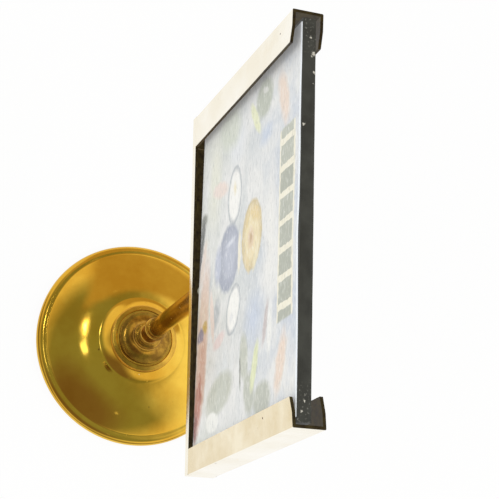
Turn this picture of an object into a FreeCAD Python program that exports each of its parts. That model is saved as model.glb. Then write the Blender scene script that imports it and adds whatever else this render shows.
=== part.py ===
"""Table stand for a framed picture: a spun brass foot, a round stem and two
channels on a low rail, which hold a black board with a picture on its front.

Millimetres. +Z is up, the picture faces -Y and +X is on its right as it is
looked at. The origin is the middle of the foot, on the table.
"""
import FreeCAD, Part
import math
import os

os.makedirs("parts", exist_ok=True)
V = FreeCAD.Vector
UP = V(0, 0, 1)
EPS = 0.01                        # overrun of a cutting tool past a face

# ---- driving dimensions ---------------------------------------------------
# foot
BASE_DIAMETER = 98.4              # over the rolled rim
RIM_BEAD_DIAMETER = 4.2
DOME_RISE = 10.6                  # from the middle of the rim bead to the flat top
DOME_FLAT_DIAMETER = 33.4         # flat top of the dome, under the boss ring
SHELL_WALL = 1.2
FELT_PROUD = 0.4                  # felt stands below the rim
FELT_THICKNESS = 1.5
WEIGHT_DIAMETER = 80.0
WEIGHT_EDGE_HEIGHT = 3.6
WEIGHT_SHOULDER_DIAMETER = 38.0
WEIGHT_BOSS_DIAMETER = 25.0
WEIGHT_BOSS_HEIGHT = 2.0
NUT_RECESS_DIAMETER = 19.0

# turned boss on top of the dome
BOSS_RING_DIAMETER = 32.4
BOSS_RING_HEIGHT = 2.2
BOSS_RING_EDGE = 0.9              # rounding of its top edge
CAP_DIAMETER = 25.0
CAP_STEP_HEIGHT = 1.1
CAP_COVE_RISE = 3.4
COLLAR_DIAMETER = 13.4
COLLAR_HEIGHT = 1.6

# stem
NECK_DIAMETER = 7.6
NECK_HEIGHT = 10.0                # from the collar to the bead
NECK_FOOT_DIAMETER = 11.6
BEAD_DIAMETER = 11.0
BEAD_HEIGHT = 3.0
BEAD_STEP_DIAMETER = 9.6
BEAD_STEP_HEIGHT = 2.2
STEM_DIAMETER = 8.3
STEM_WALL = 0.9
STEM_LENGTH = 57.7
SPIGOT_LENGTH = 7.0               # of the bead and the ferrule, inside the stem
FERRULE_DIAMETER = 11.6
FERRULE_HEIGHT = 3.2
FERRULE_FLANGE_HEIGHT = 1.4

# rod through the whole stand, with its nut under the foot
ROD_DIAMETER = 5.0
ROD_CHAMFER = 0.5
ROD_TAIL = 1.2                    # rod below the nut
ROD_GRIP = 5.0                    # rod screwed into the ferrule
NUT_FLATS = 8.0
NUT_HEIGHT = 4.0
NUT_CHAMFER = 0.5
WASHER_DIAMETER = 14.0
WASHER_THICKNESS = 1.0

# frame
FRAME_WIDTH = 156.0
CHANNEL_HEIGHT = 107.0            # above the rail
CHANNEL_DEPTH = 12.4              # front to back
CHANNEL_WALL = 1.2
LEFT_FRONT_LIP = 14.0
RIGHT_FRONT_LIP = 10.4
LEFT_BACK_LIP = 14.6
RIGHT_BACK_LIP = 11.4
FRONT_LIP_SPLAY = 1.2             # at the top, the lip's free edge bent forwards
BACK_LIP_LEAN = 1.2               # and the back lip's, towards the board
RAIL_HEIGHT = 4.0
RAIL_WALL = 1.2
FOLD_RADIUS = 0.5                 # outside corners of the folded sheet
RIVET_DIAMETER = 3.0
RIVET_HEAD_DIAMETER = 4.4
RIVET_INSET = 6.0                 # from the end of the rail
SCREW_DIAMETER = 3.0
SCREW_HEAD_DIAMETER = 5.6
SCREW_LENGTH = 6.0

# board and picture
BOARD_THICKNESS = 5.4
BOARD_TOP_GAP = 0.8               # board ends below the channels' tops
PRINT_THICKNESS = 0.4
PRINT_SIDE_MARGIN = 2.0           # board showing beside the picture
PRINT_TOP_MARGIN = 0.4
PRINT_BOTTOM_MARGIN = 2.1

# fits and clearances
ROD_TURN_CLEARANCE = 0.08         # radial, rod in the foot: it turns there
ROD_CLEARANCE = 0.3               # radial, rod in the pieces that turn with it
THREAD_CLEARANCE = 0.02           # radial, stand-in for a thread's flanks
SPIGOT_CLEARANCE = 0.04           # radial, spigots in the stem
RIVET_CLEARANCE = 0.02
TAB_CLEARANCE = 0.05              # a channel's tab between the rail's lips
FELT_CLEARANCE = 0.3              # felt inside the rolled rim
BOARD_END_CLEARANCE = 0.8         # board to each channel's web
BOARD_FACE_CLEARANCE = 0.3        # board or picture to a lip
BOARD_FOOT_CLEARANCE = 0.3        # board above the channels' feet

# ---- places worked out from them -------------------------------------------
rod_radius = ROD_DIAMETER / 2
rim_radius = RIM_BEAD_DIAMETER / 2
rim_centre_radius = BASE_DIAMETER / 2 - rim_radius
rim_z = FELT_PROUD + rim_radius
dome_top_z = rim_z + DOME_RISE
cap_z = dome_top_z + BOSS_RING_HEIGHT
neck_z = cap_z + CAP_STEP_HEIGHT + CAP_COVE_RISE + COLLAR_HEIGHT
bead_z = neck_z + NECK_HEIGHT
stem_z = bead_z + BEAD_HEIGHT + BEAD_STEP_HEIGHT
ferrule_z = stem_z + STEM_LENGTH
rail_z = ferrule_z + FERRULE_HEIGHT
rail_floor_z = rail_z + RAIL_WALL
foot_top_z = rail_floor_z + CHANNEL_WALL
rail_top_z = rail_z + RAIL_HEIGHT
channel_top_z = rail_top_z + CHANNEL_HEIGHT
stem_bore_radius = STEM_DIAMETER / 2 - STEM_WALL
spigot_radius = stem_bore_radius - SPIGOT_CLEARANCE
weight_top_z = dome_top_z - SHELL_WALL
washer_z = FELT_THICKNESS + ROD_TAIL + NUT_HEIGHT + ROD_CHAMFER
front_y = -CHANNEL_DEPTH / 2
slot_front_y = front_y + CHANNEL_WALL
rod_top_z = ferrule_z - SPIGOT_LENGTH + ROD_GRIP
board_width = FRAME_WIDTH - 2 * (CHANNEL_WALL + BOARD_END_CLEARANCE)
board_z = foot_top_z + BOARD_FOOT_CLEARANCE
board_height = channel_top_z - BOARD_TOP_GAP - board_z
panel_thickness = BOARD_THICKNESS + PRINT_THICKNESS


# ---- shapes -----------------------------------------------------------------
def save(name, shape):
    """Write one node's STEP file."""
    if not shape.isValid():
        raise ValueError(name + " is not a valid solid")
    shape.exportStep("parts/%s.step" % name)


def line(a, b):
    """Straight edge between two (radius, height) points."""
    return Part.LineSegment(V(a[0], 0, a[1]), V(b[0], 0, b[1])).toShape()


def arc(a, middle, b):
    """Circular edge through three (radius, height) points."""
    return Part.Arc(V(a[0], 0, a[1]), V(middle[0], 0, middle[1]), V(b[0], 0, b[1])).toShape()


def turned(edges):
    """Solid turned about the Z axis from a closed outline of edges."""
    face = Part.Face(Part.Wire(Part.__sortEdges__(edges)))
    return face.revolve(V(0, 0, 0), UP, 360)


def turned_polygon(points):
    """Solid turned from straight runs between (radius, height) points."""
    ends = points[1:] + points[:1]
    return turned([line(a, b) for a, b in zip(points, ends)])


def post(radius, low, high):
    """Round post about the Z axis, from one height to another."""
    return Part.makeCylinder(radius, high - low, V(0, 0, low), UP)


def block(low, high):
    """Box between two corners."""
    size = high - low
    return Part.makeBox(size.x, size.y, size.z, low)


def edges_along(shape, axis):
    """Straight edges of a shape that run along one axis."""
    straight = [e for e in shape.Edges if isinstance(e.Curve, Part.Line)]
    return [e for e in straight if abs(abs(e.Curve.Direction.dot(axis)) - 1) < 1e-6]


# ---- foot ---------------------------------------------------------------------
def bead_point(degrees):
    """Point on the rolled rim's round section, 0 degrees outwards, 90 up."""
    turn = math.radians(degrees)
    return V(rim_centre_radius + rim_radius * math.cos(turn), 0,
             rim_z + rim_radius * math.sin(turn))


def dome_points():
    """Outline of the dome's top side, from the rim to the flat middle."""
    first = bead_point(149)
    last = V(DOME_FLAT_DIAMETER / 2, 0, dome_top_z)
    # share of the way in from the rim, share of the height: full at first,
    # then hollow where the metal was turned up to meet the boss
    shares = ((0.08, 0.25), (0.24, 0.49), (0.46, 0.68), (0.68, 0.79), (0.87, 0.89))
    between = [V(first.x + (last.x - first.x) * u, 0, first.z + (last.z - first.z) * v)
               for u, v in shares]
    return [first] + between + [last]


def make_base_shell():
    """Spun dome of even wall, with a rolled rim and a hole for the rod."""
    top = Part.BSplineCurve()
    top.interpolate(dome_points())
    under_points = [bead_point(188)]
    steps = 14
    for i in range(1, steps + 1):
        at = top.FirstParameter + (top.LastParameter - top.FirstParameter) * i / steps
        along = top.tangent(at)[0]
        under_points.append(top.value(at) + V(along.z, 0, -along.x) * math.copysign(SHELL_WALL, along.x))
    under = Part.BSplineCurve()
    under.interpolate(under_points)
    bore = rod_radius + ROD_TURN_CLEARANCE
    top_rim, top_edge = top.StartPoint, top.EndPoint
    under_rim, under_edge = under.StartPoint, under.EndPoint
    far_rim = bead_point(-12)
    return turned([
        top.toShape(),
        line((top_edge.x, dome_top_z), (bore, dome_top_z)),
        line((bore, dome_top_z), (bore, weight_top_z)),
        line((bore, weight_top_z), (under_edge.x, weight_top_z)),
        line((under_edge.x, weight_top_z), (under_edge.x, under_edge.z)),
        under.toShape(),
        arc((under_rim.x, under_rim.z), (far_rim.x, far_rim.z), (top_rim.x, top_rim.z))])


def make_base_weight():
    """Cast disc under the dome: its boss bears on the dome, the nut sits in it."""
    low = FELT_THICKNESS
    bore = rod_radius + ROD_TURN_CLEARANCE
    recess = NUT_RECESS_DIAMETER / 2
    roof = washer_z + WASHER_THICKNESS
    shoulder = weight_top_z - WEIGHT_BOSS_HEIGHT
    return turned_polygon([
        (recess, low), (WEIGHT_DIAMETER / 2, low),
        (WEIGHT_DIAMETER / 2, low + WEIGHT_EDGE_HEIGHT),
        (WEIGHT_SHOULDER_DIAMETER / 2, shoulder),
        (WEIGHT_BOSS_DIAMETER / 2, shoulder),
        (WEIGHT_BOSS_DIAMETER / 2, weight_top_z),
        (bore, weight_top_z), (bore, roof), (recess, roof)])


def make_felt_pad():
    """Round felt glued under the weight, just inside the rolled rim."""
    radius = rim_centre_radius - rim_radius - FELT_CLEARANCE
    return post(radius, 0, FELT_THICKNESS)


def make_boss_ring():
    """Low turned ring on the dome's flat top."""
    bore = rod_radius + ROD_TURN_CLEARANCE
    outer = BOSS_RING_DIAMETER / 2
    top = cap_z
    r = BOSS_RING_EDGE
    bend = r * (1 - math.sqrt(0.5))
    return turned([
        line((bore, dome_top_z), (outer, dome_top_z)),
        line((outer, dome_top_z), (outer, top - r)),
        arc((outer, top - r), (outer - bend, top - bend), (outer - r, top)),
        line((outer - r, top), (bore, top)),
        line((bore, top), (bore, dome_top_z))])


def make_boss_cap():
    """Turned cap: a step, a hollow cove and the collar that carries the neck."""
    bore = rod_radius + ROD_TURN_CLEARANCE
    outer = CAP_DIAMETER / 2
    collar = COLLAR_DIAMETER / 2
    step = cap_z + CAP_STEP_HEIGHT
    cove = step + CAP_COVE_RISE
    ledge = outer - BOSS_RING_EDGE
    # the cove is an arc, hollow towards the outside
    middle = (collar + (ledge - collar) * 0.34, step + CAP_COVE_RISE * 0.32)
    half = COLLAR_HEIGHT / 2
    return turned([
        line((bore, cap_z), (outer, cap_z)),
        line((outer, cap_z), (outer, step)),
        line((outer, step), (ledge, step)),
        arc((ledge, step), middle, (collar - half, cove)),
        arc((collar - half, cove), (collar, cove + half), (collar - half, cove + 2 * half)),
        line((collar - half, cove + 2 * half), (bore, neck_z)),
        line((bore, neck_z), (bore, cap_z))])


# ---- stem -----------------------------------------------------------------------
def make_neck():
    """Waisted piece between the collar and the bead; it turns on the collar."""
    bore = rod_radius + ROD_CLEARANCE
    foot = NECK_FOOT_DIAMETER / 2
    waist = NECK_DIAMETER / 2
    middle = (waist + (foot - waist) * 0.22, neck_z + NECK_HEIGHT * 0.45)
    return turned([
        line((bore, neck_z), (foot, neck_z)),
        arc((foot, neck_z), middle, (waist, bead_z)),
        line((waist, bead_z), (bore, bead_z)),
        line((bore, bead_z), (bore, neck_z))])


def make_stem_bead():
    """Two-step bead with a spigot that centres the stem."""
    bore = rod_radius + ROD_CLEARANCE
    bead = BEAD_DIAMETER / 2
    step = BEAD_STEP_DIAMETER / 2
    half = BEAD_HEIGHT / 2
    top = bead_z + BEAD_HEIGHT
    tip = stem_z + SPIGOT_LENGTH
    return turned([
        line((bore, bead_z), (bead - half, bead_z)),
        arc((bead - half, bead_z), (bead, bead_z + half), (bead - half, top)),
        line((bead - half, top), (step, top)),
        line((step, top), (step, stem_z)),
        line((step, stem_z), (spigot_radius, stem_z)),
        line((spigot_radius, stem_z), (spigot_radius, tip)),
        line((spigot_radius, tip), (bore, tip)),
        line((bore, tip), (bore, bead_z))])


def make_stem_tube():
    """Straight brass tube between the bead and the ferrule."""
    tube = post(STEM_DIAMETER / 2, stem_z, ferrule_z)
    return tube.cut(post(stem_bore_radius, stem_z - EPS, ferrule_z + EPS))


def screw_shape(grown=0):
    """Countersunk screw down through the rail's floor, or the hole for it."""
    head = SCREW_HEAD_DIAMETER / 2 + grown
    shank = SCREW_DIAMETER / 2 + grown
    low = rail_floor_z - SCREW_LENGTH - grown
    return turned_polygon([(0, low), (shank, low), (shank, rail_floor_z - head + shank),
                           (head, rail_floor_z), (0, rail_floor_z)])


def make_top_ferrule():
    """Flared turned piece under the rail: spigot in the stem, tapped both ends."""
    flange = FERRULE_DIAMETER / 2
    stem = STEM_DIAMETER / 2
    shelf = rail_z - FERRULE_FLANGE_HEIGHT
    tip = ferrule_z - SPIGOT_LENGTH
    middle = (stem + (flange - stem) * 0.3, ferrule_z + (shelf - ferrule_z) * 0.7)
    ferrule = turned([
        line((0, tip), (spigot_radius, tip)),
        line((spigot_radius, tip), (spigot_radius, ferrule_z)),
        line((spigot_radius, ferrule_z), (stem, ferrule_z)),
        arc((stem, ferrule_z), middle, (flange, shelf)),
        line((flange, shelf), (flange, rail_z)),
        line((flange, rail_z), (0, rail_z)),
        line((0, rail_z), (0, tip))])
    tapped = post(rod_radius + THREAD_CLEARANCE, tip - EPS, rod_top_z + THREAD_CLEARANCE)
    return ferrule.cut([tapped, screw_shape(THREAD_CLEARANCE)])


def make_tie_rod():
    """Threaded rod from the nut under the foot up into the ferrule."""
    low = washer_z - NUT_HEIGHT - ROD_TAIL
    high = rod_top_z
    r = rod_radius
    c = ROD_CHAMFER
    return turned_polygon([(0, low), (r - c, low), (r, low + c), (r, high - c), (r - c, high), (0, high)])


def make_rod_nut():
    """Hexagon nut, corners turned off, under the washer."""
    low = washer_z - NUT_HEIGHT
    reach = NUT_FLATS / math.sqrt(3)
    corners = [V(reach * math.cos(math.radians(60 * i)), reach * math.sin(math.radians(60 * i)), low)
               for i in range(6)]
    hexagon = Part.Face(Part.makePolygon(corners + corners[:1])).extrude(V(0, 0, NUT_HEIGHT))
    c = NUT_CHAMFER
    barrel = turned_polygon([(0, low), (reach - c, low), (reach, low + c), (reach, washer_z - c),
                             (reach - c, washer_z), (0, washer_z)])
    bore = post(rod_radius + THREAD_CLEARANCE, low - EPS, washer_z + EPS)
    return hexagon.common(barrel).cut(bore)


def make_rod_washer():
    """Flat washer between the nut and the roof of the weight's recess."""
    top = washer_z + WASHER_THICKNESS
    return post(WASHER_DIAMETER / 2, washer_z, top).cut(
        post(rod_radius + THREAD_CLEARANCE, washer_z - EPS, top + EPS))


# ---- frame ------------------------------------------------------------------------
def along_rail(section_low, section_high):
    """Block the whole width of the frame, between two (y, z) corners."""
    half = FRAME_WIDTH / 2
    return block(V(-half, *section_low), V(half, *section_high))


def make_bottom_rail():
    """Low folded channel along the bottom edge, open upwards and at its ends."""
    rail = along_rail((front_y, rail_z), (-front_y, rail_top_z))
    folds = [e for e in edges_along(rail, V(1, 0, 0)) if e.BoundBox.ZMax < rail_top_z - EPS]
    rail = rail.makeFillet(FOLD_RADIUS, folds)
    inside_y = front_y + RAIL_WALL
    rail = rail.cut(along_rail((inside_y, rail_floor_z), (-inside_y, rail_top_z + EPS)))
    holes = [make_rivet(side, RIVET_CLEARANCE) for side in (-1, 1)]
    return rail.cut(holes + [screw_shape(THREAD_CLEARANCE)])


def make_rivet(side, grown=0):
    """Rivet up through the rail and a channel's foot, flush at both ends.

    Its countersunk head is under the rail. Grown, it is the hole for itself.
    """
    shank = RIVET_DIAMETER / 2 + grown
    head = RIVET_HEAD_DIAMETER / 2 + grown
    rivet = turned_polygon([(0, rail_z), (head, rail_z), (shank, rail_z + head - shank),
                            (shank, foot_top_z), (0, foot_top_z)])
    rivet.translate(V(side * (FRAME_WIDTH / 2 - RIVET_INSET), 0, 0))
    return rivet


def channel_section(side, height, front_lip, back_lip, splay, lean):
    """Closed outline of a channel at one height: round folds, lips bent by wear.

    Each lip is bent over its free half only, so the outline has a point at
    the middle of the lip on both faces.
    """
    wall = CHANNEL_WALL
    back = -front_y
    fold = FOLD_RADIUS

    def at(depth, y):
        """Point a distance in from the outer side."""
        return V(side * (FRAME_WIDTH / 2 - depth), y, height)

    def straight(points):
        """Edges between points in a row."""
        return [Part.LineSegment(a, b).toShape() for a, b in zip(points, points[1:])]

    def folded(y, inward):
        """Round edge at an outer corner, from the lip's face to the web's."""
        near = fold * (1 - math.sqrt(0.5))
        return Part.Arc(at(fold, y), at(near, y + near * inward), at(0, y + fold * inward)).toShape()

    outer_front = [at(front_lip, front_y - splay), at(front_lip * 0.5, front_y - splay * 0.2),
                   at(fold, front_y)]
    outer_back = [at(fold, back), at(back_lip * 0.5, back - lean * 0.2), at(back_lip, back - lean)]
    inner = [at(back_lip, back - lean - wall), at(back_lip * 0.5, back - lean * 0.2 - wall),
             at(wall, back - wall), at(wall, front_y + wall),
             at(front_lip * 0.5, front_y + wall - splay * 0.2), at(front_lip, front_y + wall - splay)]
    web = straight([at(0, front_y + fold), at(0, back - fold)])
    edges = (straight(outer_front) + [folded(front_y, 1)] + web + [folded(back, -1)]
             + straight(outer_back) + straight([outer_back[-1]] + inner + [outer_front[0]]))
    return Part.Wire(edges)


def make_channel(side, front_lip, back_lip):
    """Folded channel on the rail: web outside, two lips inwards, open on top.

    The lips are true at the rail and worn out of line at the mouth. A tab of
    the web goes down between the rail's lips and is folded inwards into a
    foot, which is riveted to the rail's floor.
    """
    outside = side * FRAME_WIDTH / 2
    tab_y = front_y + RAIL_WALL + TAB_CLEARANCE

    def slab(depth, high_z):
        """Block from the outer side inwards, on the rail's floor between its lips."""
        xs = sorted((outside, outside - side * depth))
        return block(V(xs[0], tab_y, rail_floor_z), V(xs[1], -tab_y, high_z))

    foot = channel_section(side, rail_top_z, front_lip, back_lip, 0, 0)
    mouth = channel_section(side, channel_top_z, front_lip, back_lip, FRONT_LIP_SPLAY, BACK_LIP_LEAN)
    channel = Part.makeLoft([foot, mouth], True, True)
    tab = slab(CHANNEL_WALL, rail_top_z)
    flange = slab(min(front_lip, back_lip), foot_top_z)
    channel = channel.fuse([tab, flange]).removeSplitter()
    return channel.cut(make_rivet(side, RIVET_CLEARANCE))


# ---- board and picture ---------------------------------------------------------------
def panel_ends():
    """Where the panel's front face lies at the two places that stop it.

    The left back lip's free edge stops the board's back, and the right front
    lip stops the picture's front. Each is a point (x, y) of the front face.
    """
    left = V(-FRAME_WIDTH / 2 + LEFT_BACK_LIP,
             -front_y - CHANNEL_WALL - BACK_LIP_LEAN - BOARD_FACE_CLEARANCE - panel_thickness, 0)
    right = V(board_width / 2, slot_front_y + BOARD_FACE_CLEARANCE, 0)
    return left, right


def slanted(width, depth, front, low_z, height):
    """Plate turned as the loose board lies: left end back, right end forward.

    Front is how far the plate's front lies behind the picture's front.
    """
    left, right = panel_ends()
    along = (right - left).normalize()
    inward = V(-along.y, along.x, 0)
    middle = left - along * (left.x / along.x)
    corner = middle - along * (width / 2) + inward * front
    plate = Part.makeBox(width, depth, height)
    turn = FreeCAD.Rotation(UP, math.degrees(math.atan2(along.y, along.x)))
    plate.Placement = FreeCAD.Placement(V(corner.x, corner.y, low_z), turn)
    return plate


def make_backing_board():
    """Black board, a loose fit in the two channels."""
    return slanted(board_width, BOARD_THICKNESS, PRINT_THICKNESS, board_z, board_height)


def make_photo_print():
    """Picture stuck to the front of the board, near its top."""
    width = board_width - 2 * PRINT_SIDE_MARGIN
    height = board_height - PRINT_TOP_MARGIN - PRINT_BOTTOM_MARGIN
    return slanted(width, PRINT_THICKNESS, 0, board_z + PRINT_BOTTOM_MARGIN, height)


save("base_shell", make_base_shell())
save("base_weight", make_base_weight())
save("felt_pad", make_felt_pad())
save("boss_ring", make_boss_ring())
save("boss_cap", make_boss_cap())
save("neck", make_neck())
save("stem_bead", make_stem_bead())
save("stem_tube", make_stem_tube())
save("top_ferrule", make_top_ferrule())
save("tie_rod", make_tie_rod())
save("rod_nut", make_rod_nut())
save("rod_washer", make_rod_washer())
save("rail_screw", screw_shape())
save("bottom_rail", make_bottom_rail())
save("left_channel", make_channel(-1, LEFT_FRONT_LIP, LEFT_BACK_LIP))
save("right_channel", make_channel(1, RIGHT_FRONT_LIP, RIGHT_BACK_LIP))
save("left_rivet", make_rivet(-1))
save("right_rivet", make_rivet(1))
save("backing_board", make_backing_board())
save("photo_print", make_photo_print())
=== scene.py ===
import math
import bmesh
import bpy
from mathutils import Matrix, Vector, noise


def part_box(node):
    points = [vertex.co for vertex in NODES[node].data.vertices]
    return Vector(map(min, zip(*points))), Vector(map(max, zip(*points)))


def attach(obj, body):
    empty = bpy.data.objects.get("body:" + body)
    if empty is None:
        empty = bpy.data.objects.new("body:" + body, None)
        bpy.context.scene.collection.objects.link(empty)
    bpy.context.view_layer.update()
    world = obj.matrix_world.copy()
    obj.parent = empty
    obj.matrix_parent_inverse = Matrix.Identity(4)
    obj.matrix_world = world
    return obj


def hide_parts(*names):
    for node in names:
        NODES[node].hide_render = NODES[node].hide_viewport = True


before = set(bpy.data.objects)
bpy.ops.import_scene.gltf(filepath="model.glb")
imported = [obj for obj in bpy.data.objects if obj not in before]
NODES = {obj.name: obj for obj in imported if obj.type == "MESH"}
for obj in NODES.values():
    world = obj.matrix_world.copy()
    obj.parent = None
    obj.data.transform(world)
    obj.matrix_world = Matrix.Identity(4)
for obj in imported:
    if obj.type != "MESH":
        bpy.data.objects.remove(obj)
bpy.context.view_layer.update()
MM = 0.001

# ---- Camera ---------------------------------------------------------------------
# The stand is looked down on from the front right, close to straight above,
# with the camera turned so that the foot is on the left and the frame upright.
AIM = Vector((-1.5 * MM, -1.3 * MM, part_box("bottom_rail")[1].z + 53.1 * MM))
CAMERA_AZIMUTH = math.radians(42.5)
CAMERA_ELEVATION = math.radians(62.2)
CAMERA_ROLL = math.radians(51.6)
CAMERA_DISTANCE = 540 * MM
LENS = 100.9

ahead = Vector((-math.sin(CAMERA_AZIMUTH) * math.cos(CAMERA_ELEVATION),
                math.cos(CAMERA_AZIMUTH) * math.cos(CAMERA_ELEVATION),
                -math.sin(CAMERA_ELEVATION)))
level = ahead.cross(Vector((0, 0, 1))).normalized()
above = level.cross(ahead)
right = level * math.cos(CAMERA_ROLL) + above * math.sin(CAMERA_ROLL)
up = above * math.cos(CAMERA_ROLL) - level * math.sin(CAMERA_ROLL)
camera_data = bpy.data.cameras.new("camera")
camera_data.lens = LENS
camera_data.sensor_width = 36
camera_data.clip_start = 0.01
camera = bpy.data.objects.new("camera", camera_data)
bpy.context.scene.collection.objects.link(camera)
turned = Matrix((right, up, -ahead)).transposed().to_4x4()
camera.matrix_world = Matrix.Translation(AIM - ahead * CAMERA_DISTANCE) @ turned
bpy.context.scene.camera = camera
bpy.context.scene.view_settings.view_transform = "Standard"


# ---- Studio ---------------------------------------------------------------------
# White table and white background. Metal sees more of the room: a bright wall
# behind, a warm one on the left, an olive, dimmer ceiling, and pale walls below it.
def colour(code, light=1.0):
    """Linear colour from an sRGB hex code, brighter than the code by a factor."""
    parts = [int(code[i:i + 2], 16) / 255 for i in (1, 3, 5)]
    linear = [p / 12.92 if p <= 0.04045 else ((p + 0.055) / 1.055) ** 2.4 for p in parts]
    return (*[light * part for part in linear], 1.0)


def add(tree, kind, links=None, **settings):
    """New shader node with its settings; an input takes a value, a socket or a whole node."""
    node = tree.nodes.new(kind)
    for name, value in settings.items():
        setattr(node, name, value)
    for name, value in (links or {}).items():
        if isinstance(value, bpy.types.Node):
            value = next(socket for socket in value.outputs if socket.enabled)
        if isinstance(value, bpy.types.NodeSocket):
            tree.links.new(value, node.inputs[name])
        else:
            node.inputs[name].default_value = value
    return node


world = bpy.data.worlds.new("studio")
bpy.context.scene.world = world
world.use_nodes = True
sky = world.node_tree
sky.nodes.clear()
toward = add(sky, "ShaderNodeTexCoord").outputs["Generated"]
side = add(sky, "ShaderNodeSeparateXYZ", {0: toward}).outputs
overhead = add(sky, "ShaderNodeVectorMath", {0: toward, 1: (0.42, -0.30, 0.86)},
               operation="DOT_PRODUCT").outputs["Value"]
behind = add(sky, "ShaderNodeVectorMath", {0: toward, 1: (-0.8, 1.0, 0.0)},
             operation="DOT_PRODUCT").outputs["Value"]
# each part of the room: colour, light, and where it comes in: from none to all of it
ROOM = [("#F1E7CC", 1.15, [(side["Z"], 0.82, 0.64)]), ("#8A806C", 1.0, [(side["Z"], 0.34, 0.16)]),
        ("#7F6F62", 1.0, [(overhead, 0.86, 0.97)]),
        ("#F8F8F2", 1.25, [(behind, 0.12, 0.52), (side["Y"], 0.26, 0.39)]),
        ("#CDB98E", 1.0, [(side["X"], -0.40, -0.47), (side["Y"], -0.17, -0.07)]),
        ("#F8EED2", 1.20, [(side["X"], -0.66, -0.80), (side["Z"], 0.34, 0.24)]),
        ("#9A9070", 1.0, [(side["Y"], -0.70, -0.82)]), ("#A89E80", 1.0, [(side["X"], 0.76, 0.88)])]
room = colour("#959B80")
for code, light, ranges in ROOM:
    mask = 1.0
    for value, none, all_of_it in ranges:
        comes = add(sky, "ShaderNodeMapRange", {"Value": value, "From Min": none, "From Max": all_of_it})
        mask = add(sky, "ShaderNodeMath", {0: mask, 1: comes}, operation="MULTIPLY")
    room = add(sky, "ShaderNodeMix", {"Factor": mask, "A": room, "B": colour(code, light)}, data_type="RGBA")
path = add(sky, "ShaderNodeLightPath").outputs
seen = add(sky, "ShaderNodeBackground", {"Color": colour("#FFFFFF"), "Strength": 1.0})
shine = add(sky, "ShaderNodeBackground", {"Color": room, "Strength": 1.0})
fill = add(sky, "ShaderNodeBackground", {"Color": colour("#FFFEFA"), "Strength": 0.72})
glossy = add(sky, "ShaderNodeMixShader", {0: path["Is Glossy Ray"], 1: fill, 2: shine})
shown = add(sky, "ShaderNodeMixShader", {0: path["Is Camera Ray"], 1: glossy, 2: seen})
add(sky, "ShaderNodeOutputWorld", {"Surface": shown})


def lamp(name, place, width, depth, power):
    """Area lamp that looks at the foot."""
    data = bpy.data.lights.new(name, "AREA")
    data.shape = "ELLIPSE" if width == depth else "RECTANGLE"
    data.size = width
    data.size_y = depth
    data.energy = power
    made = bpy.data.objects.new(name, data)
    bpy.context.scene.collection.objects.link(made)
    made.location = place
    made.rotation_euler = (-Vector(place)).to_track_quat("-Z", "Y").to_euler()
    return made


lamp("wide_soft_lamp", (0.35, 0.75, 0.95), 0.7, 0.7, 4.0).visible_glossy = False
lamp("front_soft_lamp", (0.25, -0.75, 0.75), 0.8, 0.8, 2.9).visible_glossy = False
lamp("round_bulb", (-0.304, -0.071, 0.964), 0.060, 0.060, 0.12)
lamp("bulb_glow", (-0.306, -0.072, 0.970), 0.15, 0.15, 0.034)
lamp("small_window", (-0.176, -0.079, 0.993), 0.10, 0.085, 0.060)


def new_material(name):
    """Material with one Principled shader: the material, its tree and the shader."""
    made = bpy.data.materials.new(name)
    made.use_nodes = True
    tree = made.node_tree
    return made, tree, tree.nodes["Principled BSDF"]


# matt white paper, mostly lost in its own light, with the stand's faint shadow
floor_white, tree, shader = new_material("white_table_paper")
shader.inputs["Base Color"].default_value = colour("#F4F4F2")
shader.inputs["Roughness"].default_value = 0.9
path = add(tree, "ShaderNodeLightPath").outputs
FLOOR_GLOW = 0.93                 # share of its own light, where it is seen or mirrored
direct = add(tree, "ShaderNodeMath", {0: path["Is Camera Ray"], 1: path["Is Glossy Ray"]},
             operation="MAXIMUM")
share = add(tree, "ShaderNodeMath", {0: direct, 1: FLOOR_GLOW}, operation="MULTIPLY")
glow = add(tree, "ShaderNodeEmission", {"Color": colour("#FFFFFF"), "Strength": 1.0})
paper = add(tree, "ShaderNodeMixShader", {0: share, 1: shader, 2: glow})
tree.links.new(paper.outputs[0], tree.nodes["Material Output"].inputs["Surface"])
mesh = bpy.data.meshes.new("floor")
reach = 3.0
mesh.from_pydata([(-reach, -reach, 0), (reach, -reach, 0), (reach, reach, 0), (-reach, reach, 0)],
                 [], [(0, 1, 2, 3)])
floor = bpy.data.objects.new("floor", mesh)
bpy.context.scene.collection.objects.link(floor)
mesh.materials.append(floor_white)


# ---- Foot shell -----------------------------------------------------------------
# Spun from yellow brass sheet on a lathe: a low dome that sweeps up to a flat
# seat for the boss, with its edge rolled over a chuck and a fine line inside it.
def arc(r, z, across, high, start, end, steps=8):
    """Points on an elliptical arc about (r, z), from one angle in degrees to another."""
    turns = [math.radians(start + (end - start) * step / steps) for step in range(steps + 1)]
    return [(r + across * math.cos(t), z + high * math.sin(t)) for t in turns]


def placed(name, bm, materials, body, nodes, crease=32):
    """Object from a finished mesh, tied to its body and the nodes it stands for."""
    bmesh.ops.recalc_face_normals(bm, faces=bm.faces)
    for face in bm.faces:
        face.smooth = True
    for edge in bm.edges:
        edge.smooth = len(edge.link_faces) == 2 and edge.calc_face_angle() < math.radians(crease)
    mesh = bpy.data.meshes.new(name)
    bm.to_mesh(mesh)
    bm.free()
    for material in materials:
        mesh.materials.append(material)
    piece = bpy.data.objects.new(name, mesh)
    bpy.context.scene.collection.objects.link(piece)
    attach(piece, body)
    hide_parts(*nodes)
    return piece


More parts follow.
